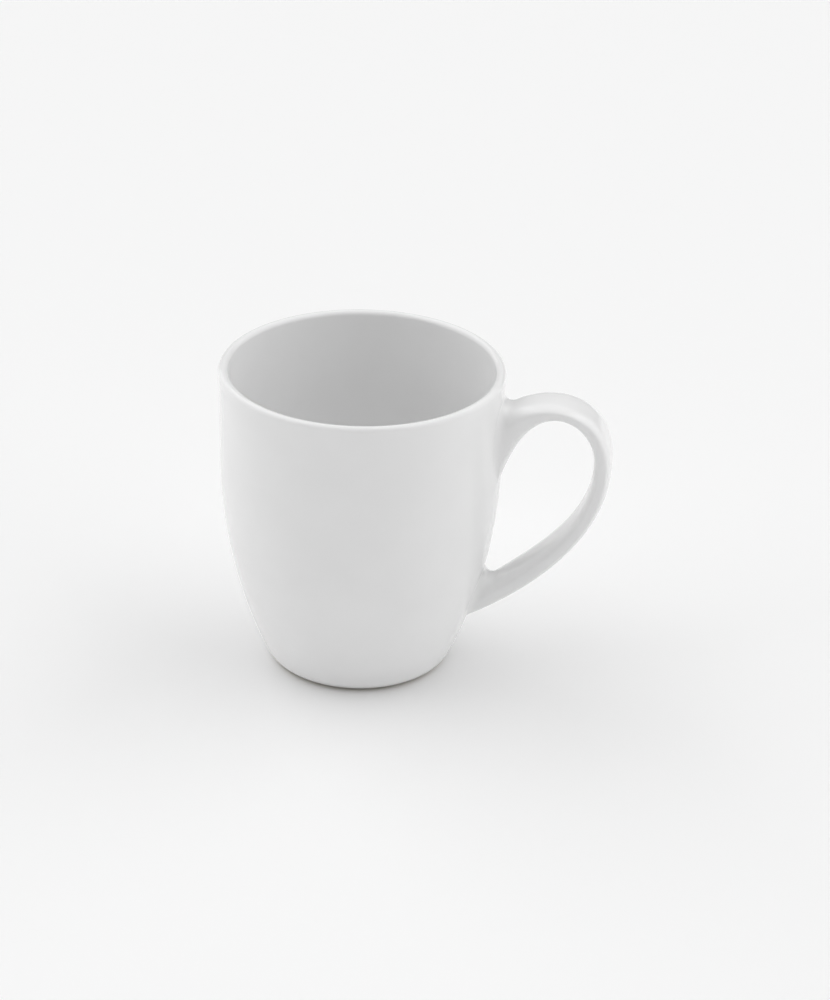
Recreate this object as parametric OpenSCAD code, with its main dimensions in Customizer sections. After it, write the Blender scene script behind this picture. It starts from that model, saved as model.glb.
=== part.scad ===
// A glazed ceramic mug: a turned clay cup, a cast strap handle luted on with
// slip at two places, and the glaze coats that cover them.
// Millimetres, +Z up. The origin is the centre of the foot, on the table, and
// the handle points along +X.

/* [Cup] */
// Outer diameter over the rim
rim_d = 89; // [74:1:107]
// Height from the table to the top of the rim
height = 100; // [84:1:120]
// How much wider the rim is than the body, on each side
lip_flare = 0.5; // [0.3:0.1:1.2]
// Height of the flared lip
lip_h = 20; // [10:1:24]
// Height of the straight upper wall, lip included
straight_h = 30; // [25:1:40]
// Diameter that the curved side would have at the table, without its corner
base_d = 56.4; // [46:0.2:62]
// Radius of the corner between side and foot
corner_r = 6.2; // [4:0.1:8]
// Thickness of the upper wall and the rim
wall = 3; // [2.4:0.1:4]
// Thickness of the wall at the table, measured level
lower_wall = 4.5; // [3:0.1:6]

/* [Base] */
// Thickness of the floor over the recess
floor_t = 4.5; // [3:0.1:7]
// Radius of the corner between floor and inner wall
floor_corner_r = 12; // [6:0.5:16]
// Depth of the recess under the base
recess_depth = 2; // [1.4:0.1:3]
// Width of the foot ring that stands on the table
foot_w = 2.6; // [2:0.1:5]
// Slope of the recess wall, as width for each millimetre of depth
recess_slope = 0.6; // [0.2:0.1:1.5]
// Height of the foot that is left bare of glaze
bare_h = 1.2; // [0.8:0.1:1.3]

/* [Handle] */
// Width of the strap
strap_w = 15.5; // [10:0.5:20]
// Thickness of the strap where it stands out furthest
strap_t = 5.5; // [4:0.1:8]
// How far the handle stands out from the straight wall
reach = 34.6; // [29:0.2:42]
// Depth below the rim of the point that stands out furthest
bulge_drop = 27; // [22:1:35]
// Depth below the rim where the outer line meets the wall
top_drop = 16; // [13:0.5:20]
// Depth below the rim where the inner line leaves the wall
web_drop = 46; // [38:0.5:50]
// Height where the outer line meets the wall, at the bottom
low_h = 17.8; // [14:0.2:22]
// Thickness of the strap at the bottom, measured upright
low_t = 4.8; // [4:0.1:9]
// Slope of the strap's outer line at the bottom
low_angle = 26; // [18:1:32]
// Squareness of the strap's section, where 2 is an oval
strap_square = 3; // [2:0.1:5]

/* [Joints and glaze] */
// Radius of the smoothed clay around each end of the handle
fillet_r = 2.4; // [1.6:0.1:3.5]
// Margin of bare strap end around each pad of slip
slip_margin = 2; // [1:0.1:3]
// Thickness of the glaze, and of the slip that lies flush with it
glaze_t = 0.3; // [0.2:0.05:0.5]

/* [Hidden] */
$fn = 180;
ROUND = 24;       // points around the strap
STEPS = 20;       // rings in each half of the strap
SPAN = 400;       // longer than any part of the mug
INTO_WALL = 4;    // how far the strap runs on inside the wall before it is cut
PAD_CORNER = 1.5; // corner radius of a pad of slip
WEB_RISE = 17;    // height that the strap's inner line climbs inside the wall
STEP = 0.001;     // how far a rounded corner stays inside the curve it meets
TUCK = 0.5;       // how far the core of an outline stays inside its edge

// --- The cup's outline, in the plane of radius and height -------------------
body_r = rim_d / 2 - lip_flare;
shoulder_z = height - straight_h;
lip_z = height - lip_h;

// Radius of an arc that is upright at one end and has gone in by drop after
// rise, to the nearest micrometre so that arc and straight wall meet exactly
function arc_r(rise, drop) = round(1000 * (rise * rise + drop * drop) / (2 * drop)) / 1000;

side_r = arc_r(shoulder_z, body_r - base_d / 2);
side_x = body_r - side_r;
lip_r = arc_r(lip_h, lip_flare);
lip_x = body_r + lip_r;

inner_side_r = arc_r(shoulder_z, body_r - wall - (base_d / 2 - lower_wall));
inner_side_x = body_r - wall - inner_side_r;
floor_z = recess_depth + floor_t;

// Radius at which a corner of radius r, resting at height z0, touches a side arc
function corner_x(r, z0, arc, x) =
    x + sqrt(pow(arc - r, 2) - pow(shoulder_z - z0 - r, 2));
foot_r = corner_x(corner_r, 0, side_r, side_x);
floor_r = corner_x(floor_corner_r, floor_z, inner_side_r, inner_side_x);
corner_dip = (shoulder_z - corner_r) / (side_r - corner_r);
floor_dip = (shoulder_z - floor_z - floor_corner_r) / (inner_side_r - floor_corner_r);

// The middle of the rounded rim, halfway through the wall
rim_z = height - wall / 2 + STEP;
rim_tilt = asin((rim_z - lip_z) / (lip_r + wall / 2));
rim_x = lip_x - (lip_r + wall / 2) * cos(rim_tilt);

recess_r = foot_r - foot_w;
recess_top_r = recess_r - recess_depth * recess_slope;

// Each filled outline is built of strips that meet edge to edge, over a core
// that ties them together. Rounded corners are a hair (STEP) smaller than the
// curves they meet, so that a joint is never too fine for the later tools.

// A core, kept TUCK inside the strips; join is where a corner meets its side
module core(foot, bottom, join, side) {
    polygon([[0, bottom + TUCK], [foot - TUCK, bottom + TUCK], join - [TUCK, -TUCK],
        [side - TUCK, shoulder_z], [side - TUCK, lip_z + TUCK], [0, lip_z + TUCK]]);
}

// The cup's outer shape, filled, taken in by inset
module outer_profile(inset) {
    r = corner_r - inset;
    side = body_r - inset;
    join = [foot_r + r * sqrt(1 - corner_dip * corner_dip), corner_r - r * corner_dip];
    core(foot_r, inset, join, side);
    translate([0, inset]) square([foot_r, join.y - inset]);
    intersection() {
        translate([foot_r, corner_r]) circle(r - STEP);
        translate([foot_r, 0]) square([SPAN, join.y]);
    }
    intersection() {
        translate([side_x, shoulder_z]) circle(side_r - inset);
        translate([0, join.y]) square([SPAN, shoulder_z - join.y]);
    }
    translate([0, shoulder_z]) square([side, lip_z - shoulder_z]);
    difference() {
        translate([0, lip_z]) square([body_r + lip_flare + 1, lip_h]);
        translate([lip_x, lip_z]) circle(lip_r + inset);
    }
}

// The space inside the cup, let out by grow
module cavity_profile(grow) {
    r = floor_corner_r + grow;
    bottom = floor_z - grow;
    side = body_r - wall + grow;
    join = [floor_r + r * sqrt(1 - floor_dip * floor_dip), bottom + r - r * floor_dip];
    core(floor_r, bottom, join, side);
    translate([0, bottom]) square([floor_r, join.y - bottom]);
    intersection() {
        translate([floor_r, bottom + r]) circle(r - STEP);
        translate([floor_r, 0]) square([SPAN, join.y]);
    }
    intersection() {
        translate([inner_side_x, shoulder_z]) circle(inner_side_r + grow);
        translate([0, join.y]) square([SPAN, shoulder_z - join.y]);
    }
    translate([0, shoulder_z]) square([side, lip_z - shoulder_z]);
    difference() {
        translate([0, lip_z]) square([body_r + lip_flare, lip_h + 1]);
        translate([lip_x, lip_z]) circle(lip_r + wall - grow);
    }
}

// The wall and floor with the rounded rim, taken in by inset on both sides
module wall_profile(inset) {
    intersection() {
        difference() {
            outer_profile(inset);
            cavity_profile(inset);
        }
        translate([rim_x, rim_z]) rotate(-rim_tilt)
            translate([-SPAN, -SPAN]) square([2 * SPAN, SPAN]);
    }
    translate([rim_x, rim_z]) circle(wall / 2 - inset - STEP);
}

module above(z) {
    translate([0, z]) square([SPAN, SPAN]);
}

module glaze_profile() {
    intersection() {
        difference() {
            wall_profile(0);
            wall_profile(glaze_t);
        }
        above(bare_h);
    }
}

module recess_profile() {
    polygon([[0, 0], [recess_r, 0], [recess_top_r, recess_depth], [0, recess_depth]]);
    base_glaze_profile();
}

module base_glaze_profile() {
    translate([0, recess_depth]) square([recess_top_r, glaze_t]);
}

// The cup's outer shape as a solid, taken in by inset
module cup_shape(inset) {
    rotate_extrude() outer_profile(inset);
}

// --- The strap handle, in the plane of the mug's axis -----------------------
top_root_x = body_r - 3;
low_root_x = outer_radius(low_h) - 1.4;
bulge_x = body_r + reach;
bulge_z = height - bulge_drop;

function outer_radius(z) = z >= shoulder_z
    ? body_r : side_x + sqrt(pow(side_r, 2) - pow(shoulder_z - z, 2));

// Each line is two cubic curves that meet, upright, where the handle stands
// out furthest; the pulls say how long each curve keeps its first direction.
outer_line = [
    [top_root_x, height - top_drop],
    [top_root_x + 3.3, height - top_drop + 12.3],
    [bulge_x, bulge_z + 28.2],
    [bulge_x, bulge_z],
    [bulge_x, bulge_z - 20.8],
    [low_root_x + 25.2, low_h + 25.2 * tan(low_angle)],
    [low_root_x, low_h]];
inner_line = [
    [top_root_x, height - web_drop],
    [top_root_x + 10, height - web_drop + 51],
    [bulge_x - strap_t, bulge_z + 16.5],
    [bulge_x - strap_t, bulge_z + 2.2],
    [bulge_x - strap_t, bulge_z - 23],
    [low_root_x + 19.7, low_h + low_t + 17],
    [low_root_x, low_h + low_t]];

function cubic(p, i, t) = pow(1 - t, 3) * p[i] + 3 * pow(1 - t, 2) * t * p[i + 1]
    + 3 * (1 - t) * t * t * p[i + 2] + pow(t, 3) * p[i + 3];
function on_line(p, k) = k <= STEPS ? cubic(p, 0, k / STEPS) : cubic(p, 3, k / STEPS - 1);

// Distance from the cup's outer surface, and the surface's own direction there
function from_axis(p) = norm([p.x, p.y]);
function gap(p) = p.z >= shoulder_z
    ? from_axis(p) - body_r
    : norm([from_axis(p) - side_x, p.z - shoulder_z]) - side_r;
function wall_normal(p) = let(
        q = p.z >= shoulder_z ? [1, 0]
            : [from_axis(p) - side_x, p.z - shoulder_z] / (gap(p) + side_r))
    [q[0] * p.x / from_axis(p), q[0] * p.y / from_axis(p), q[1]];

// How far the smoothed clay stands proud of the strap, at a distance d from the
// wall, where facing is 1 if the strap's surface lies flat along the wall
function flare(d, facing) = let(r = fillet_r * (1 - facing), left = min(max(r - d, 0), r))
    r - sqrt(r * r - left * left);

function signed_pow(v, e) = sign(v) * pow(abs(v), e);
function ring_point(k, a, inset) = let(
        o = on_line(outer_line, k),
        i = on_line(inner_line, k),
        middle = (o + i) / 2,
        across = (o - i) / norm(o - i),
        half_t = norm(o - i) / 2,
        half_w = strap_w / 2,
        e = 2 / strap_square,
        u = half_t * signed_pow(cos(a), e),
        v = half_w * signed_pow(sin(a), e),
        nu = signed_pow(cos(a), 2 - e) / half_t,
        nv = signed_pow(sin(a), 2 - e) / half_w,
        out = [across.x * nu, nv, across.y * nu] / norm([nu, nv]),
        p = [middle.x + across.x * u, v, middle.y + across.y * u],
        facing = max(out * wall_normal(p), 0))
    p + out * (flare(gap(p) + inset, facing) - inset);

function ring(k, inset, shift = [0, 0, 0]) =
    [for (j = [0 : ROUND - 1]) ring_point(k, (j + 0.5) * 360 / ROUND, inset) + shift];
low_shift = -INTO_WALL * [cos(low_angle), 0, sin(low_angle)];
function rings(inset) = concat(
    ring(0, inset, [-INTO_WALL, 0, 0]),
    [for (k = [0 : 2 * STEPS]) each ring(k, inset)],
    ring(2 * STEPS, inset, low_shift));
RINGS = 2 * STEPS + 3;

// Triangles between two closed loops of points that start at a and at b
function band(a, b) = [for (j = [0 : ROUND - 1]) let(n = (j + 1) % ROUND)
    each [[a + j, b + j, b + n], [a + j, b + n, a + n]]];
function sides(start) = [for (k = [0 : RINGS - 2])
    each band(start + k * ROUND, start + (k + 1) * ROUND)];
function flipped(faces) = [for (f = faces) [f[0], f[2], f[1]]];

// The strap as a solid bar, taken in by inset
module strap(inset) {
    last = (RINGS - 1) * ROUND;
    polyhedron(rings(inset), concat(sides(0),
        [[for (j = [0 : ROUND - 1]) j]],
        [[for (j = [ROUND - 1 : -1 : 0]) last + j]]));
}

// The glaze on the strap: a sleeve, open at both ends inside the wall
module strap_sleeve() {
    inner = RINGS * ROUND;
    last = (RINGS - 1) * ROUND;
    polyhedron(concat(rings(0), rings(glaze_t)), concat(
        sides(0), flipped(sides(inner)),
        flipped(band(0, inner)), band(last, inner + last)));
}

// --- The pieces -------------------------------------------------------------
module cup_body() {
    color("#ded6c9")
        rotate_extrude() difference() {
            union() {
                intersection() {
                    wall_profile(glaze_t);
                    above(bare_h);
                }
                intersection() {
                    wall_profile(0);
                    square([SPAN, bare_h]);
                }
            }
            recess_profile();
        }
}

module handle() {
    color("#ded6c9")
        difference() {
            strap(glaze_t);
            cup_shape(0);
        }
}

// A bar along X with rounded corners, as wide as a pad of slip
module pad_bar(low, high) {
    half_w = strap_w / 2 - slip_margin;
    r = PAD_CORNER;
    rotate([90, 0, 90]) linear_extrude(SPAN) {
        translate([-half_w, low + r]) square([2 * half_w, high - low - 2 * r]);
        translate([r - half_w, low]) square([2 * (half_w - r), high - low]);
        for (y = [r - half_w, half_w - r], z = [low + r, high - r])
            translate([y, z]) circle(r);
    }
}

module upper_pad_bar() {
    pad_bar(height - web_drop + WEB_RISE, height - top_drop + slip_margin);
}

module lower_pad_bar() {
    pad_bar(low_h + slip_margin, low_h + low_t + slip_margin);
}

// The slip fills a window in the glaze, between the cup and the strap's end
module slip_coat() {
    difference() {
        cup_shape(0);
        cup_shape(glaze_t);
    }
}

module upper_joint_slip() {
    color("#cfc4b2")
        intersection() {
            slip_coat();
            upper_pad_bar();
        }
}

module lower_joint_slip() {
    color("#cfc4b2")
        intersection() {
            slip_coat();
            lower_pad_bar();
        }
}

module outer_glaze() {
    color("#f6f6f4")
        difference() {
            rotate_extrude() difference() {
                glaze_profile();
                cavity_profile(wall / 2);
            }
            upper_pad_bar();
            lower_pad_bar();
        }
}

module inner_glaze() {
    color("#f9f9f7")
        rotate_extrude() intersection() {
            glaze_profile();
            cavity_profile(wall / 2);
        }
}

module handle_glaze() {
    color("#f4f4f2")
        difference() {
            strap_sleeve();
            cup_shape(0);
        }
}

module base_glaze() {
    color("#f6f6f4")
        rotate_extrude() base_glaze_profile();
}

cup_body();
handle();
upper_joint_slip();
lower_joint_slip();
outer_glaze();
inner_glaze();
handle_glaze();
base_glaze();
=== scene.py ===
# %% [markdown]
# # A glazed ceramic mug
#
# The mug is one turned cup with a pulled strap handle, under a skin of gloss
# white glaze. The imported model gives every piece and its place. This script
# makes the surfaces that a person sees: the skin of glaze on the cup, the
# glazed handle with its smoothed joints, the clay of the bare foot, and the
# pool of glaze in the recess under the base.
#
# Everything is in metres, with the foot's centre at the origin, +Z up and the
# handle along +X.

# %% Load the frame
import math

import bpy
import bmesh
import numpy as np
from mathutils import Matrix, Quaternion, Vector


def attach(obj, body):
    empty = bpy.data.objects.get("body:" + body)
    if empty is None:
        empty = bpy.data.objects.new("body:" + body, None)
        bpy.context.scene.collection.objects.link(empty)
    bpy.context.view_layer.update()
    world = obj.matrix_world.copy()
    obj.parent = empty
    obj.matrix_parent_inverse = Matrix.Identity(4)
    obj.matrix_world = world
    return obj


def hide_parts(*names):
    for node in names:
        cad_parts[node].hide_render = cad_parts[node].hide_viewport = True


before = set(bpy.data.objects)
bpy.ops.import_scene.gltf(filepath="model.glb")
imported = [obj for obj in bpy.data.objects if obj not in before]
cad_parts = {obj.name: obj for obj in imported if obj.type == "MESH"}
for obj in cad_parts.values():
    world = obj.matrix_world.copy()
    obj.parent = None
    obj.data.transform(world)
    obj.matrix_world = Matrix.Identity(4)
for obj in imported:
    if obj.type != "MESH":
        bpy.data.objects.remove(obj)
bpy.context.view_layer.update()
MM = 0.001
print("nodes:", ", ".join(sorted(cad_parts)))

# %% [markdown]
# ## Camera
#
# A catalogue picture of a mug is taken with a long lens, from a little above,
# so that the rim shows as an open ellipse and the sides stay nearly parallel.
# The camera stands a metre away and leans a hair to one side. The handle, on
# +X, comes a few degrees towards it.

# %% Camera
view_centre = Vector((0.0168, 0.0039, 0.0531))
view_distance = 0.989
view_turn = math.radians(7.44)
view_height = math.radians(27.19)
view_lean = math.radians(1.29)
lens_mm = 112.8

towards_camera = Vector((
    math.sin(view_turn) * math.cos(view_height),
    -math.cos(view_turn) * math.cos(view_height),
    math.sin(view_height),
))
camera_data = bpy.data.cameras.new("camera")
camera_data.lens = lens_mm
camera = bpy.data.objects.new("camera", camera_data)
camera.location = view_centre + towards_camera * view_distance
camera.rotation_mode = "QUATERNION"
camera.rotation_quaternion = (
    (-towards_camera).to_track_quat("-Z", "Y") @ Quaternion((0, 0, 1), view_lean)
)
bpy.context.scene.collection.objects.link(camera)
bpy.context.scene.camera = camera
print("camera at", [round(v, 3) for v in camera.location])

# %% [markdown]
# ## The cup's outline
#
# A cup is turned on a wheel, so one outline in the plane of radius and height
# says everything about it. The outline is made of straight stretches and arcs
# that run smoothly into each other: floor, floor corner, curved side, upright
# wall, lip, round rim, and down again outside to the foot. These are the same
# sizes as in the design, in millimetres.

# %% Sizes of the cup
body_r = 44.0
height = 100.0
lip_flare = 0.5
lip_h = 20.0
straight_h = 30.0
base_r = 28.2
corner_r = 6.2
wall = 3.0
lower_wall = 4.5
floor_t = 4.5
floor_corner_r = 12.0
recess_depth = 2.0
foot_w = 2.6
recess_slope = 0.6
bare_h = 1.2
glaze_t = 0.3

shoulder_z = height - straight_h
lip_z = height - lip_h
floor_z = recess_depth + floor_t


def arc_radius(rise, drop):
    """Radius of an arc that is upright at one end and moves by drop over rise."""
    return (rise * rise + drop * drop) / (2 * drop)


def corner_centre(r, z0, side_radius, side_centre):
    """Radius at which a corner arc on the level z0 just touches a side arc."""
    reach = shoulder_z - z0 - r
    return side_centre + math.sqrt((side_radius - r) ** 2 - reach**2)


side_r = arc_radius(shoulder_z, body_r - base_r)
side_x = body_r - side_r
inner_side_r = arc_radius(shoulder_z, body_r - wall - (base_r - lower_wall))
inner_side_x = body_r - wall - inner_side_r
lip_r = arc_radius(lip_h, lip_flare)
lip_x = body_r + lip_r
foot_r = corner_centre(corner_r, 0, side_r, side_x)
floor_r = corner_centre(floor_corner_r, floor_z, inner_side_r, inner_side_x)
corner_dip = math.asin((shoulder_z - corner_r) / (side_r - corner_r))
floor_dip = math.asin(
    (shoulder_z - floor_z - floor_corner_r) / (inner_side_r - floor_corner_r)
)
rim_z = height - wall / 2
rim_tilt = math.asin((rim_z - lip_z) / (lip_r + wall / 2))
rim_x = lip_x - (lip_r + wall / 2) * math.cos(rim_tilt)
recess_r = foot_r - foot_w
recess_top_r = recess_r - recess_depth * recess_slope
print(f"side arc {side_r:.1f} mm, foot radius {foot_r:.2f} mm, rim radius {rim_x + wall / 2:.2f} mm")

# %% [markdown]
# ## A pen for outlines
#
# By hand, an outline starts as one vertex: a plane merged to its centre. The
# vertex is extruded for each straight stretch and spun about a centre for each
# arc, and the finished outline is spun once round the axis of the wheel. The
# helpers below are those four moves.

# %% The pen
pen = Vector((0, 0, 0))


def select_none():
    for chosen in bpy.context.selected_objects:
        chosen.select_set(False)


def start_outline(name, x, z):
    """Adds a mesh of one vertex at radius x and height z, ready to be drawn out."""
    select_none()
    bpy.ops.mesh.primitive_plane_add(size=MM, location=(0, 0, 0))
    piece = bpy.context.object
    piece.name = name
    bpy.ops.object.mode_set(mode="EDIT")
    bpy.ops.mesh.select_all(action="SELECT")
    bpy.ops.mesh.merge(type="CENTER")
    bpy.ops.transform.translate(value=(x * MM, 0, z * MM))
    pen.x, pen.z = x, z
    return piece


def line_to(x, z, steps=1):
    """Extrudes the last vertex in a straight line, in equal steps."""
    step = ((x - pen.x) / steps * MM, 0, (z - pen.z) / steps * MM)
    for _ in range(steps):
        bpy.ops.mesh.extrude_vertices_move(TRANSFORM_OT_translate={"value": step})
    pen.x, pen.z = x, z


def arc_about(x, z, turn, steps):
    """Spins the last vertex about the point x, z by turn, anticlockwise if above 0."""
    bpy.ops.mesh.spin(
        steps=steps, angle=turn, center=(x * MM, 0, z * MM), axis=(0, 1, 0)
    )
    across, up = pen.x - x, pen.z - z
    pen.x = x + across * math.cos(turn) - up * math.sin(turn)
    pen.z = z + across * math.sin(turn) + up * math.cos(turn)


def turn_on_wheel(piece, steps):
    """Spins the outline once round the upright axis and closes its seam and poles."""
    bpy.ops.mesh.select_all(action="SELECT")
    bpy.ops.mesh.spin(steps=steps, angle=math.tau, center=(0, 0, 0), axis=(0, 0, 1))
    bpy.ops.mesh.select_all(action="SELECT")
    bpy.ops.mesh.remove_doubles(threshold=0.0005 * MM)
    bpy.ops.mesh.normals_make_consistent(inside=False)
    bpy.ops.object.mode_set(mode="OBJECT")
    print(piece.name, "has", len(piece.data.polygons), "faces")


def finish_smooth(piece, degrees=40):
    """Smooth shading, with an edge wherever the surface turns by more than degrees."""
    select_none()
    piece.select_set(True)
    bpy.context.view_layer.objects.active = piece
    bpy.ops.object.shade_smooth_by_angle(angle=math.radians(degrees))


def apply_modifier(piece, modifier):
    select_none()
    piece.select_set(True)
    bpy.context.view_layer.objects.active = piece
    bpy.ops.object.modifier_apply(modifier=modifier.name)


# %% [markdown]
# ## The skin of glaze on the cup
#
# The liner glaze and the outer glaze melt into one skin at the rim, so they are
# one piece here. Its outline runs from the middle of the floor, up the inside,
# over the rim and down to the line above the foot where the glaze was wiped
# off. A Solidify modifier then gives the skin its real thickness, inwards, to
# where the clay begins.

# %% Glaze skin
WHEEL_STEPS = 160


def inner_outline(inset):
    """From the floor corner up the inside to the lip, inset into the wall."""
    corner_z = floor_z + floor_corner_r
    line_to(floor_r, floor_z - inset, steps=4)
    arc_about(floor_r, corner_z, math.pi / 2 - floor_dip, steps=14)
    arc_about(inner_side_x, shoulder_z, floor_dip, steps=30)
    line_to(body_r - wall + inset, lip_z, steps=3)
    arc_about(lip_x, lip_z, -rim_tilt, steps=8)


def over_the_rim():
    arc_about(rim_x, rim_z, -math.pi, steps=18)


def outer_outline(inset, corner_steps, stop_z):
    """From the lip down the outside, and round the corner to the height stop_z."""
    arc_about(lip_x, lip_z, rim_tilt, steps=8)
    line_to(body_r - inset, shoulder_z, steps=3)
    arc_about(side_x, shoulder_z, -corner_dip, steps=30)
    left = math.asin((corner_r - stop_z) / (corner_r - inset)) - corner_dip
    arc_about(foot_r, corner_r, -left, steps=corner_steps)


glaze_skin = start_outline("glaze_skin", 0, floor_z)
inner_outline(0)
over_the_rim()
outer_outline(0, corner_steps=8, stop_z=bare_h)
turn_on_wheel(glaze_skin, WHEEL_STEPS)
thickness = glaze_skin.modifiers.new("glaze thickness", "SOLIDIFY")
thickness.thickness = glaze_t * MM
thickness.offset = -1
thickness.use_even_offset = True
apply_modifier(glaze_skin, thickness)
finish_smooth(glaze_skin)
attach(glaze_skin, "root")
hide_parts("outer_glaze", "inner_glaze")

# %% [markdown]
# ## The clay cup
#
# The clay shows only where it stands on the table. The glaze is wiped off there
# before firing, because it would stick to the kiln shelf, and the edges of the
# foot ring are softened with a sponge. The whole clay body is turned from one
# outline, so that it fills the skin of glaze as the real one does.

# %% Clay cup
sponge_r = 0.5
slope_angle = math.atan2(recess_depth, recess_r - recess_top_r)
clay_cup = start_outline("clay_cup", 0, recess_depth + glaze_t)
line_to(recess_top_r, recess_depth + glaze_t, steps=3)
line_to(recess_top_r, recess_depth)
edge_x = recess_r + sponge_r * math.tan(slope_angle / 2)
line_to(edge_x - sponge_r * math.sin(slope_angle), sponge_r * (1 - math.cos(slope_angle)))
arc_about(edge_x, sponge_r, slope_angle, steps=6)
line_to(foot_r, 0, steps=2)
bare_turn = math.pi / 2 - math.asin((corner_r - bare_h) / corner_r)
arc_about(foot_r, corner_r, bare_turn, steps=6)
line_to(
    foot_r + math.sqrt((corner_r - glaze_t) ** 2 - (corner_r - bare_h) ** 2), bare_h
)
clay_start = math.asin((corner_r - bare_h) / (corner_r - glaze_t))
arc_about(foot_r, corner_r, clay_start - corner_dip, steps=8)
arc_about(side_x, shoulder_z, corner_dip, steps=30)
line_to(body_r - glaze_t, lip_z, steps=3)
arc_about(lip_x, lip_z, -rim_tilt, steps=8)
arc_about(rim_x, rim_z, math.pi, steps=14)
arc_about(lip_x, lip_z, rim_tilt, steps=8)
line_to(body_r - wall + glaze_t, shoulder_z, steps=3)
arc_about(inner_side_x, shoulder_z, -floor_dip, steps=30)
arc_about(floor_r, floor_z + floor_corner_r, floor_dip - math.pi / 2, steps=12)
line_to(0, floor_z - glaze_t, steps=4)
turn_on_wheel(clay_cup, WHEEL_STEPS)
finish_smooth(clay_cup)
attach(clay_cup, "root")
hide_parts("cup_body")

# %% [markdown]
# ## The glaze under the base
#
# Inside the foot ring the recess is glazed. The melt draws up a little at its
# edge, where it wets the clay, so the pool is a disc with a soft raised lip.

# %% Base glaze
meniscus = 0.25
base_pool = start_outline("base_pool", 0, recess_depth + glaze_t)
line_to(recess_top_r, recess_depth + glaze_t)
line_to(recess_top_r, recess_depth - meniscus)
line_to(recess_top_r - 2 * meniscus, recess_depth - meniscus / 4)
line_to(recess_top_r - 5 * meniscus, recess_depth)
line_to(0, recess_depth, steps=4)
turn_on_wheel(base_pool, WHEEL_STEPS)
finish_smooth(base_pool, degrees=60)
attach(base_pool, "root")
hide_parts("base_glaze")

# %% [markdown]
# ## The handle's loop
#
# The strap is a little wider than a finger and thinner than its width, and it
# makes an ear: up and out from under the rim, round, and back down in a long
# slope to the lower side. Two lines in the mug's middle plane say where its
# outer and inner faces run. Each is two cubic curves that meet, upright, where
# the handle stands out furthest, so each is seven points: an end, two handles, the
# meeting point, two handles and the other end. A bite is how far an end starts
# inside the wall.

# %% Lines of the handle
strap_w = 15.5
strap_t = 5.5
reach = 34.6
bulge_drop = 27.0
top_drop = 16.0
web_drop = 46.0
low_h = 17.8
low_t = 4.8
low_angle = math.radians(26)


def outer_radius(z):
    """The cup's outer radius at a height between the foot and the lip."""
    if z >= shoulder_z:
        return body_r
    return side_x + math.sqrt(side_r**2 - (shoulder_z - z) ** 2)


top_bite = 3.0
low_bite = 1.4
top_x = body_r - top_bite
low_x = outer_radius(low_h) - low_bite
bulge_x = body_r + reach
bulge_z = height - bulge_drop
outer_line = np.array([
    (top_x, height - top_drop),
    (top_x + 3.3, height - top_drop + 12.3),
    (bulge_x, bulge_z + 28.2),
    (bulge_x, bulge_z),
    (bulge_x, bulge_z - 20.8),
    (low_x + 25.2, low_h + 25.2 * math.tan(low_angle)),
    (low_x, low_h),
])
inner_line = np.array([
    (top_x, height - web_drop),
    (top_x + 10, height - web_drop + 51),
    (bulge_x - strap_t, bulge_z + 16.5),
    (bulge_x - strap_t, bulge_z + 2.2),
    (bulge_x - strap_t, bulge_z - 23),
    (low_x + 19.7, low_h + low_t + 17),
    (low_x, low_h + low_t),
])


def on_line(points, t):
    """The point at t along two joined cubic curves, where t goes from 0 to 2."""
    first = 0 if t <= 1 else 3
    t = t - 1 if t > 1 else t
    a, b, c, d = points[first:first + 4]
    return (1 - t) ** 3 * a + 3 * (1 - t) ** 2 * t * b + 3 * (1 - t) * t**2 * c + t**3 * d


# %% [markdown]
# ## Pulling the strap
#
# The strap starts as its own cross-section: a square plane with its corners
# well rounded, stretched to the strap's thickness and width, with its face
# deleted. That ring is extruded step by step along the loop. At each step it is
# turned to face along the loop and thinned or thickened across it, and a
# Subdivision Surface then smooths it all. The first and last rings lie inside
# the wall.

# %% Strap
SPANS = 24
INTO_WALL = 5.0
CORNER_SHARE = 0.33
ring_turn = 0.0
ring_t = strap_t


def stations():
    """Middle, direction across and thickness of the strap at each of its rings."""
    found = []
    for step in range(2 * SPANS + 1):
        outer, inner = (on_line(line, step / SPANS) for line in (outer_line, inner_line))
        across = outer - inner
        found.append(((outer + inner) / 2, math.atan2(across[1], across[0]), np.linalg.norm(across)))
    middle, turn, t = found[0]
    found.insert(0, (middle - (INTO_WALL, 0), turn, t))
    middle, turn, t = found[-1]
    inwards = np.array((math.cos(low_angle), math.sin(low_angle))) * INTO_WALL
    found.append((middle - inwards, turn, t))
    return found


def place_ring(middle, turn, t):
    """Turns and thins the selected ring about its new middle."""
    global ring_turn, ring_t
    centre = (middle[0] * MM, 0, middle[1] * MM)
    bpy.ops.transform.rotate(value=-ring_turn, orient_axis="Y", center_override=centre)
    bpy.ops.transform.resize(value=(t / ring_t, 1, 1), center_override=centre)
    bpy.ops.transform.rotate(value=turn, orient_axis="Y", center_override=centre)
    ring_turn, ring_t = turn, t


select_none()
bpy.ops.mesh.primitive_plane_add(size=1, location=(0, 0, 0))
strap = bpy.context.object
strap.name = "glazed_handle"
bpy.ops.object.mode_set(mode="EDIT")
bpy.ops.mesh.select_all(action="SELECT")
bpy.ops.mesh.bevel(offset=CORNER_SHARE, segments=4, affect="VERTICES")
bpy.ops.mesh.select_all(action="SELECT")
bpy.ops.transform.resize(value=(strap_t * MM, strap_w * MM, 1))
bpy.ops.mesh.delete(type="ONLY_FACE")
bpy.ops.mesh.select_all(action="SELECT")

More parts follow.
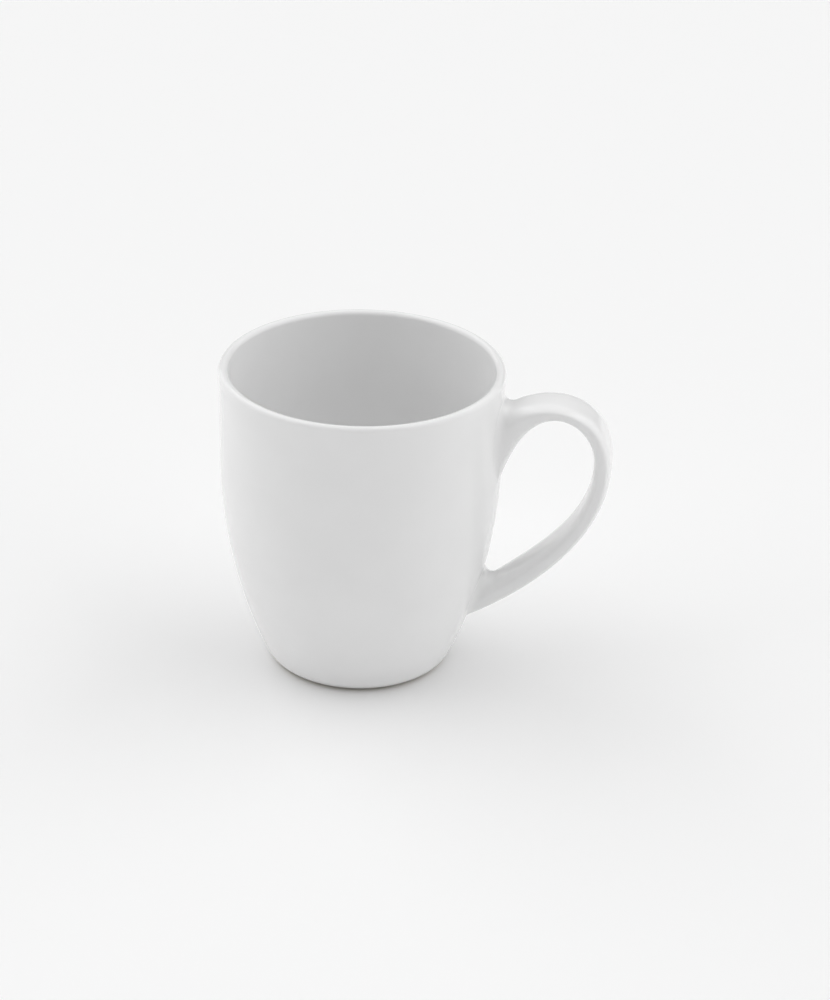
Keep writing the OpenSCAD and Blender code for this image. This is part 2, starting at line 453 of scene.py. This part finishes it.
path = stations()
before = path[0][0]
bpy.ops.transform.translate(value=(before[0] * MM, 0, before[1] * MM))
place_ring(*path[0])
for middle, turn, t in path[1:]:
    move = ((middle[0] - before[0]) * MM, 0, (middle[1] - before[1]) * MM)
    bpy.ops.mesh.extrude_edges_move(TRANSFORM_OT_translate={"value": move})
    place_ring(middle, turn, t)
    before = middle
bpy.ops.mesh.select_all(action="SELECT")
bpy.ops.mesh.normals_make_consistent(inside=False)
bpy.ops.object.mode_set(mode="OBJECT")
rounding = strap.modifiers.new("rounding", "SUBSURF")
rounding.levels = rounding.render_levels = 2
apply_modifier(strap, rounding)
print("strap has", len(strap.data.polygons), "faces")

# %% [markdown]
# ## Seating the strap and smoothing its joints
#
# On the bench the potter scores both faces, brushes on slip, presses the strap
# home and smooths the slip round the joint with a fingertip. No modifier rolls
# a ball along the corner between two curved surfaces, so this is done by moving
# vertices. For each lengthwise row of the strap, the ball's centre is found
# where it touches the row and the wall at once. The row then runs along the
# strap to that touch, and round the ball to the wall.

# %% Seat the strap
smoothing_r = 2.8
ARC_STEPS = 12
sink = 0.02


def rings_of(piece):
    """Vertex numbers of an open tube, ring by ring from its upper end."""
    mesh = bmesh.new()
    mesh.from_mesh(piece.data)
    start = max((v for v in mesh.verts if v.is_boundary), key=lambda v: v.co.z)
    ring = [start]
    while True:
        onward = [
            e.other_vert(ring[-1]) for e in ring[-1].link_edges
            if e.is_boundary and e.other_vert(ring[-1]) not in ring[-2:]
        ]
        if not onward or onward[0] is start:
            break
        ring.append(onward[0])
    rings, done = [], set()
    while ring:
        rings.append([v.index for v in ring])
        done.update(ring)
        following = []
        for v in ring:
            following += [n for n in (e.other_vert(v) for e in v.link_edges) if n not in done][:1]
        ring = following
    mesh.free()
    return np.array(rings)


def wall_gap(p):
    """Distance of points, in mm, from the cup's outer surface, above 0 outside."""
    r = np.hypot(p[..., 0], p[..., 1])
    curved = np.hypot(r - side_x, p[..., 2] - shoulder_z) - side_r
    return np.where(p[..., 2] >= shoulder_z, r - body_r, curved)


def wall_normal(p):
    """The direction in which the cup's outer surface faces, next to each point."""
    r = np.hypot(p[..., 0], p[..., 1])
    up = np.minimum(p[..., 2] - shoulder_z, 0)
    out = np.where(up < 0, r - side_x, 1.0)
    size = np.hypot(out, up)
    return np.stack([out / size * p[..., 0] / r, out / size * p[..., 1] / r, up / size], -1)


def unit(vectors):
    return vectors / np.linalg.norm(vectors, axis=-1, keepdims=True)


def outward_of(rows):
    """The direction in which the strap faces at each of its points."""
    around = np.roll(rows, -1, axis=1) - np.roll(rows, 1, axis=1)
    outward = unit(np.cross(around, np.gradient(rows, axis=0)))
    from_middle = rows - rows.mean(axis=1, keepdims=True)
    return -outward if (from_middle * outward).sum() < 0 else outward


def along(lengths, values, wanted):
    """Values at the wanted lengths, on a smooth curve through those at lengths."""
    slope = np.gradient(values, lengths, axis=0)
    i = np.clip(np.searchsorted(lengths, wanted) - 1, 0, len(lengths) - 2)
    h = (lengths[i + 1] - lengths[i])[:, None]
    t = (wanted - lengths[i])[:, None] / h
    return (
        (2 * t**3 - 3 * t**2 + 1) * values[i] + (t**3 - 2 * t**2 + t) * h * slope[i]
        + (3 * t**2 - 2 * t**3) * values[i + 1] + (t**3 - t**2) * h * slope[i + 1]
    )


def round_the_ball(point, out):
    """Points from the wall to the strap, round a ball that touches both."""
    centre = point + out * smoothing_r
    to_wall, to_strap = -wall_normal(centre), -out
    opening = math.acos(np.clip(to_wall @ to_strap, -1, 1))
    share = np.arange(ARC_STEPS) / ARC_STEPS
    if opening < 1e-4:
        weights = np.stack([1 - share, share], -1)
    else:
        weights = np.sin(np.stack([1 - share, share], -1) * opening) / math.sin(opening)
    return centre + smoothing_r * (weights @ np.stack([to_wall, to_strap]))


def seat(rows, outward):
    """Rows that start on the wall, follow the strap, and end on the wall."""
    count = len(rows)
    seated = np.empty_like(rows)
    for column in range(rows.shape[1]):
        row, out = rows[:, column], outward[:, column]
        lengths = np.append(0, np.cumsum(np.linalg.norm(np.diff(row, axis=0), axis=1)))

        def ball_gap(wanted):
            centre = along(lengths, row, wanted) + smoothing_r * unit(along(lengths, out, wanted))
            return wall_gap(centre) - smoothing_r

        fine = np.linspace(0, lengths[-1], 12 * count)
        clear = np.flatnonzero(ball_gap(fine) > 0)
        touch = []
        for a, b in ((clear[0] - 1, clear[0]), (clear[-1] + 1, clear[-1])):
            gap = ball_gap(fine[[a, b]])
            touch.append(fine[a] + (fine[b] - fine[a]) * gap[0] / (gap[0] - gap[1]))
        wanted = np.linspace(*touch, count - 2 * ARC_STEPS)
        middle = along(lengths, row, wanted)
        facing = unit(along(lengths, out, wanted))
        first = round_the_ball(middle[0], facing[0])
        last = round_the_ball(middle[-1], facing[-1])
        seated[:, column] = np.concatenate([first, middle, last[::-1]])
    return seated


ring_index = rings_of(strap)
points = np.array([v.co for v in strap.data.vertices]) / MM
rows = points[ring_index]
rows = seat(rows, outward_of(rows))
for end in (0, -1):
    rows[end] -= wall_normal(rows[end]) * sink
for vertex, place in zip(ring_index.ravel(), rows.reshape(-1, 3) * MM):
    strap.data.vertices[vertex].co = place
strap.data.update()
print("upper joint from", rows[0, :, 2].min().round(1), "to", rows[0, :, 2].max().round(1), "mm")
print("lower joint from", rows[-1, :, 2].min().round(1), "to", rows[-1, :, 2].max().round(1), "mm")

# %% [markdown]
# ## The clay strap inside its glaze
#
# The seated tube is the outside of the glaze. A copy of it, shrunk by the
# glaze's thickness and closed with a face at each end, is the clay strap. The
# tube itself gets the glaze's thickness from a Solidify modifier, like the skin
# on the cup.

# %% Clay strap and sleeve of glaze
select_none()
strap.select_set(True)
bpy.context.view_layer.objects.active = strap
bpy.ops.object.duplicate()
clay_strap = bpy.context.object
clay_strap.name = "clay_handle"
bpy.ops.object.mode_set(mode="EDIT")
bpy.ops.mesh.select_all(action="SELECT")
bpy.ops.mesh.normals_make_consistent(inside=False)
bpy.ops.transform.shrink_fatten(value=-glaze_t * MM)
bpy.ops.mesh.select_mode(type="EDGE")
for end in (0, -1):
    bpy.ops.mesh.select_all(action="DESELECT")
    shell = bmesh.from_edit_mesh(clay_strap.data)
    shell.verts.ensure_lookup_table()
    ends = {shell.verts[i] for i in ring_index[end]}
    for edge in shell.edges:
        edge.select_set(edge.is_boundary and set(edge.verts) <= ends)
    bmesh.update_edit_mesh(clay_strap.data)
    bpy.ops.mesh.edge_face_add()
bpy.ops.mesh.select_all(action="SELECT")
bpy.ops.mesh.normals_make_consistent(inside=False)
bpy.ops.object.mode_set(mode="OBJECT")
finish_smooth(clay_strap, degrees=50)
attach(clay_strap, "root")
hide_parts("handle")

sleeve = strap.modifiers.new("glaze thickness", "SOLIDIFY")
sleeve.thickness = glaze_t * MM
sleeve.offset = -1
apply_modifier(strap, sleeve)
finish_smooth(strap, degrees=50)
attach(strap, "root")
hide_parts("handle_glaze")
glaze_edge, clay_edge = (max(v.co.x for v in p.data.vertices) for p in (strap, clay_strap))
print(f"glaze on the strap is {(glaze_edge - clay_edge) / MM:.2f} mm thick at its far edge")

# %% [markdown]
# ## White glaze
#
# The glaze is a white gloss, a third of a millimetre thick. It isn't perfectly
# flat: it has a long soft ripple from the pour and a faint orange peel from the
# firing, both far too low to see except in the way that reflections bend. Its
# whiteness and its gloss drift very slightly with the same two patterns.

# %% Glaze material
GLAZE_SHADES = (0.87, 0.87, 0.87), (0.89, 0.89, 0.89)
GLAZE_ROUGHNESS = 0.16, 0.20
GLAZE_IOR = 1.52
POUR_MM, POUR_DEPTH_MM = 22, 0.06
PEEL_MM, PEEL_DEPTH_MM = 2.2, 0.004


def new_material(name):
    material = bpy.data.materials.new(name)
    material.use_nodes = True
    tree = material.node_tree
    return material, tree, tree.nodes["Principled BSDF"]


def noise(tree, scale_mm, detail=2.0):
    """A noise pattern fixed to the object, with features of about scale_mm."""
    place = tree.nodes.new("ShaderNodeTexCoord")
    pattern = tree.nodes.new("ShaderNodeTexNoise")
    pattern.inputs["Scale"].default_value = 1 / (scale_mm * MM)
    pattern.inputs["Detail"].default_value = detail
    tree.links.new(place.outputs["Object"], pattern.inputs["Vector"])
    return pattern


def spread(tree, pattern, low, high):
    """The pattern's middle range, stretched to run from low to high."""
    ramp = tree.nodes.new("ShaderNodeMapRange")
    ramp.inputs["From Min"].default_value = 0.3
    ramp.inputs["From Max"].default_value = 0.7
    ramp.inputs["To Min"].default_value = low
    ramp.inputs["To Max"].default_value = high
    tree.links.new(pattern.outputs["Fac"], ramp.inputs["Value"])
    return ramp.outputs["Result"]


def bump(tree, pattern, depth_mm, normal=None):
    """A bump of the pattern, depth_mm high, over an earlier bump if there is one."""
    node = tree.nodes.new("ShaderNodeBump")
    node.inputs["Distance"].default_value = depth_mm * MM
    tree.links.new(pattern.outputs["Fac"], node.inputs["Height"])
    if normal:
        tree.links.new(normal, node.inputs["Normal"])
    return node.outputs["Normal"]


def blend_colours(tree, factor, first, second):
    mix = tree.nodes.new("ShaderNodeMix")
    mix.data_type = "RGBA"
    mix.inputs["A"].default_value = (*first, 1)
    mix.inputs["B"].default_value = (*second, 1)
    tree.links.new(factor, mix.inputs["Factor"])
    return mix.outputs["Result"]


def glaze_material():
    material, tree, surface = new_material("white_gloss_glaze")
    pour = noise(tree, POUR_MM)
    peel = noise(tree, PEEL_MM, detail=1.0)
    tint = blend_colours(tree, spread(tree, pour, 0, 1), *GLAZE_SHADES)
    tree.links.new(tint, surface.inputs["Base Color"])
    tree.links.new(spread(tree, peel, *GLAZE_ROUGHNESS), surface.inputs["Roughness"])
    ripple = bump(tree, pour, POUR_DEPTH_MM)
    tree.links.new(bump(tree, peel, PEEL_DEPTH_MM, ripple), surface.inputs["Normal"])
    surface.inputs["IOR"].default_value = GLAZE_IOR
    return material


white_glaze = glaze_material()

# %% [markdown]
# ## Fired clay and slip
#
# Bare stoneware is matt and a shade warmer than the glaze, with a fine grain
# and soft clouds of a darker shade. The slip in the joints is the same clay let
# down with water, so it is smoother and a little darker.

# %% Clay materials
def clay_material(name, light, dark, grain_mm, grain_depth_mm):
    material, tree, surface = new_material(name)
    grain = noise(tree, grain_mm, detail=4.0)
    cloud = noise(tree, 9)
    colour = blend_colours(tree, spread(tree, cloud, 0, 1), light, dark)
    tree.links.new(colour, surface.inputs["Base Color"])
    tree.links.new(spread(tree, grain, 0.72, 0.9), surface.inputs["Roughness"])
    tree.links.new(bump(tree, grain, grain_depth_mm), surface.inputs["Normal"])
    return material


fired_clay = clay_material("fired_clay", (0.66, 0.62, 0.55), (0.60, 0.56, 0.49), 0.35, 0.03)
joining_slip = clay_material("joining_slip", (0.58, 0.54, 0.47), (0.54, 0.50, 0.43), 0.2, 0.01)

# %% Give each piece its finish
def dress(piece, material):
    piece.data.materials.clear()
    piece.data.materials.append(material)


for piece in (glaze_skin, base_pool, strap):
    dress(piece, white_glaze)
for piece in (clay_cup, clay_strap):
    dress(piece, fired_clay)
for node in ("upper_joint_slip", "lower_joint_slip"):
    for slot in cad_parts[node].material_slots:
        slot.material = joining_slip

# %% [markdown]
# ## Table and light
#
# A white piece is lit for its edges: broad soft light from above and from both
# sides, and less from the camera's side, so that the front is a quiet grey and
# the outline stays bright. The table is a plain pale plane.

# %% Table
select_none()
TABLE_SIZE = 6.0
TABLE_SHADE = 0.91
bpy.ops.mesh.primitive_plane_add(size=TABLE_SIZE, location=(0, 0, 0))
table = bpy.context.object
table.name = "table"
table_material, _, table_surface = new_material("pale_table")
table_surface.inputs["Base Color"].default_value = (TABLE_SHADE, TABLE_SHADE, TABLE_SHADE, 1)
table_surface.inputs["Roughness"].default_value = 0.9
table_surface.inputs["Specular IOR Level"].default_value = 0.2
dress(table, table_material)

# %% Light
def soft_sun(name, azimuth, elevation, strength, spread_degrees):
    """Even light from a wide part of the sky; azimuth 0 is behind the mug."""
    data = bpy.data.lights.new(name, "SUN")
    data.energy = strength
    data.angle = math.radians(spread_degrees)
    light = bpy.data.objects.new(name, data)
    a, e = math.radians(azimuth), math.radians(elevation)
    source = Vector((math.sin(a) * math.cos(e), math.cos(a) * math.cos(e), math.sin(e)))
    light.rotation_mode = "QUATERNION"
    light.rotation_quaternion = source.to_track_quat("Z", "Y")
    bpy.context.scene.collection.objects.link(light)


LIGHT_SPREAD = 90
SKY_STRENGTH = 0.15
world = bpy.data.worlds.new("studio")
world.use_nodes = True
sky = world.node_tree.nodes["Background"]
sky.inputs["Color"].default_value = (1, 1, 1, 1)
sky.inputs["Strength"].default_value = SKY_STRENGTH
bpy.context.scene.world = world
soft_sun("top_light", 0, 75, 1.05, LIGHT_SPREAD)
soft_sun("front_light", 180, 50, 0.4, LIGHT_SPREAD)
soft_sun("left_light", -80, 25, 1.6, LIGHT_SPREAD)
soft_sun("right_light", 80, 25, 1.5, LIGHT_SPREAD)
bpy.context.scene.view_settings.view_transform = "Standard"
